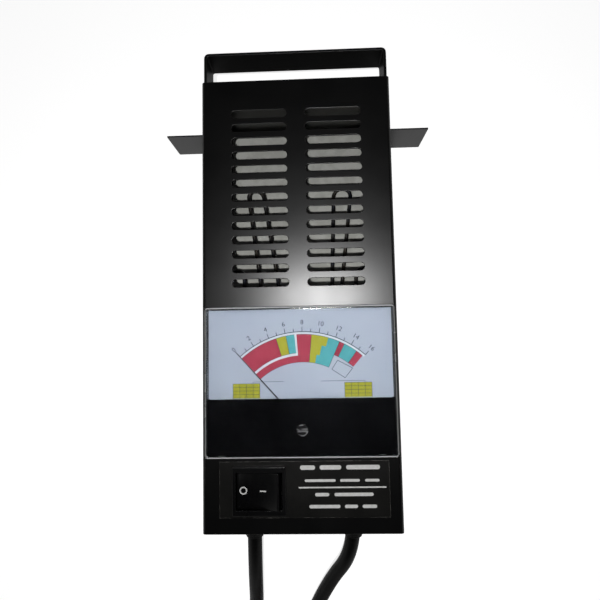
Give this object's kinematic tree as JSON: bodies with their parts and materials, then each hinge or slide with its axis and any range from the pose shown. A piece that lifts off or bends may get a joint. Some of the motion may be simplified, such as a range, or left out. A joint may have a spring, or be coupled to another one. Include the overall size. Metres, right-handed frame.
{
  "type": "battery load tester",
  "caption": "Hand-held car battery load tester: vented black steel case with strap handle, panel volt meter, spring-return rocker switch, side tabs and heavy leads with clamps.",
  "frame": {"origin": "centre of the case's back face, which the tester rests on", "axes": "+Z out of the front face with the meter, +Y towards the strap handle, +X to the right of the meter"},
  "size_m": [0.2, 0.6525, 0.0796],
  "materials": {
    "black_paint": "satin black enamel on sheet steel",
    "blackened_steel": "blackened steel",
    "label_print": "thin satin dark plate",
    "clear_plastic": "clear moulded styrene",
    "black_gloss": "gloss black moulding",
    "dial_white": "printed white dial",
    "black_plastic": "moulded black plastic",
    "switch_black": "satin black nylon",
    "white_nylon": "natural nylon",
    "zinc_steel": "zinc-plated steel",
    "dark_steel": "ground magnet steel",
    "spring_steel": "oiled spring steel",
    "plated_jaw": "nickel-plated pressed steel",
    "brass": "plain brass",
    "bronze_spring": "phosphor bronze",
    "copper_wire": "enamelled copper winding",
    "needle_black": "matt black paint on aluminium",
    "resistance_wire": "oxidised resistance wire",
    "insulation_board": "pressed insulation board",
    "lead_black": "black flexible cable jacket",
    "grommet_rubber": "moulded black rubber",
    "black_vinyl": "dipped black vinyl",
    "red_vinyl": "dipped red vinyl"
  },
  "bodies": {
    "tester": {"front_cover": "black_paint", "rear_chassis": "black_paint", "handle_strap": "black_paint", "handle_rivets": "blackened_steel", "case_screws": "blackened_steel", "label_plate": "label_print", "meter_cover": "clear_plastic", "meter_mask": "black_gloss", "dial_plate": "dial_white", "meter_housing": "black_plastic", "meter_fixings": "zinc_steel", "meter_studs": "brass", "meter_yoke": "zinc_steel", "meter_magnet": "dark_steel", "magnet_keys": "brass", "front_bridge": "brass", "rear_bridge": "brass", "switch_body": "switch_black", "rocker_pin": "zinc_steel", "switch_terminals": "brass", "load_wire_left": "resistance_wire", "load_wire_right": "resistance_wire", "load_posts": "brass", "load_bus_bar": "brass", "load_board": "insulation_board", "board_standoffs": "zinc_steel", "heat_shield": "zinc_steel", "left_inner_lead": "lead_black", "right_inner_lead": "lead_black", "switch_link": "lead_black", "meter_wires": "lead_black", "grommet_left": "grommet_rubber", "grommet_right": "grommet_rubber", "lead_left": "lead_black", "lead_left_coil": "lead_black", "lead_right": "lead_black", "lead_right_coil": "lead_black", "clamp_black_fixed_jaw": "plated_jaw", "clamp_black_fixed_grip": "black_vinyl", "clamp_black_pivot_pin": "zinc_steel", "clamp_black_spring": "spring_steel", "clamp_red_fixed_jaw": "plated_jaw", "clamp_red_fixed_grip": "red_vinyl", "clamp_red_pivot_pin": "zinc_steel", "clamp_red_spring": "spring_steel"},
    "rocker": {"rocker": "switch_black", "rocker_plunger": "white_nylon", "plunger_spring": "spring_steel"},
    "contact": {"contact_lever": "brass"},
    "needle": {"needle": "needle_black", "moving_coil": "copper_wire", "hairspring_front": "bronze_spring", "hairspring_rear": "bronze_spring"},
    "zero_adjuster": {"zero_adjuster": "black_plastic"},
    "zero_lever": {"zero_lever": "brass"},
    "clamp_black_jaw": {"clamp_black_moving_jaw": "plated_jaw", "clamp_black_moving_grip": "black_vinyl"},
    "clamp_red_jaw": {"clamp_red_moving_jaw": "plated_jaw", "clamp_red_moving_grip": "red_vinyl"}
  },
  "joints": [
    {"name": "rocker_press", "type": "hinge", "parent": "tester", "child": "rocker", "pos_m": [-0.0245, -0.11025, 0.0725], "axis": [0, 1, 0], "range_deg": [0, 20], "stiffness_Nm_per_rad": 0.06, "springref_deg": -20.05},
    {"name": "contact_tilt", "type": "hinge", "parent": "tester", "child": "contact", "pos_m": [-0.0245, -0.11025, 0.0592], "axis": [0, 1, 0], "range_deg": [-10, 0]},
    {"name": "needle_swing", "type": "hinge", "parent": "tester", "child": "needle", "pos_m": [0.0015, -0.0753, 0.0715], "axis": [0, 0, -1], "range_deg": [-3, 88], "stiffness_Nm_per_rad": 0.00002},
    {"name": "zero_adjuster_turn", "type": "hinge", "parent": "tester", "child": "zero_adjuster", "pos_m": [0.0008, -0.0763, 0.0762], "axis": [0, 0, 1], "range_deg": [-12, 12]},
    {"name": "zero_lever_turn", "type": "hinge", "parent": "tester", "child": "zero_lever", "pos_m": [0.0015, -0.0753, 0.0705], "axis": [0, 0, 1], "range_deg": [-14.8, 14.8]},
    {"name": "clamp_black_open", "type": "hinge", "parent": "tester", "child": "clamp_black_jaw", "pos_m": [-0.06693, -0.40173, 0.0148], "axis": [0, 0, -1], "range_deg": [0, 22], "stiffness_Nm_per_rad": 0.8, "springref_deg": -28.65, "deforming": ["clamp_black_spring"]},
    {"name": "clamp_red_open", "type": "hinge", "parent": "tester", "child": "clamp_red_jaw", "pos_m": [0.03148, -0.4351, 0.0148], "axis": [0, 0, 1], "range_deg": [0, 22], "stiffness_Nm_per_rad": 0.8, "springref_deg": -28.65, "deforming": ["clamp_red_spring"]}
  ],
  "couplings": [
    {"joint": "contact_tilt", "follows": "rocker_press", "ratio": -0.5},
    {"joint": "zero_lever_turn", "follows": "zero_adjuster_turn", "ratio": 1.2333}
  ]
}
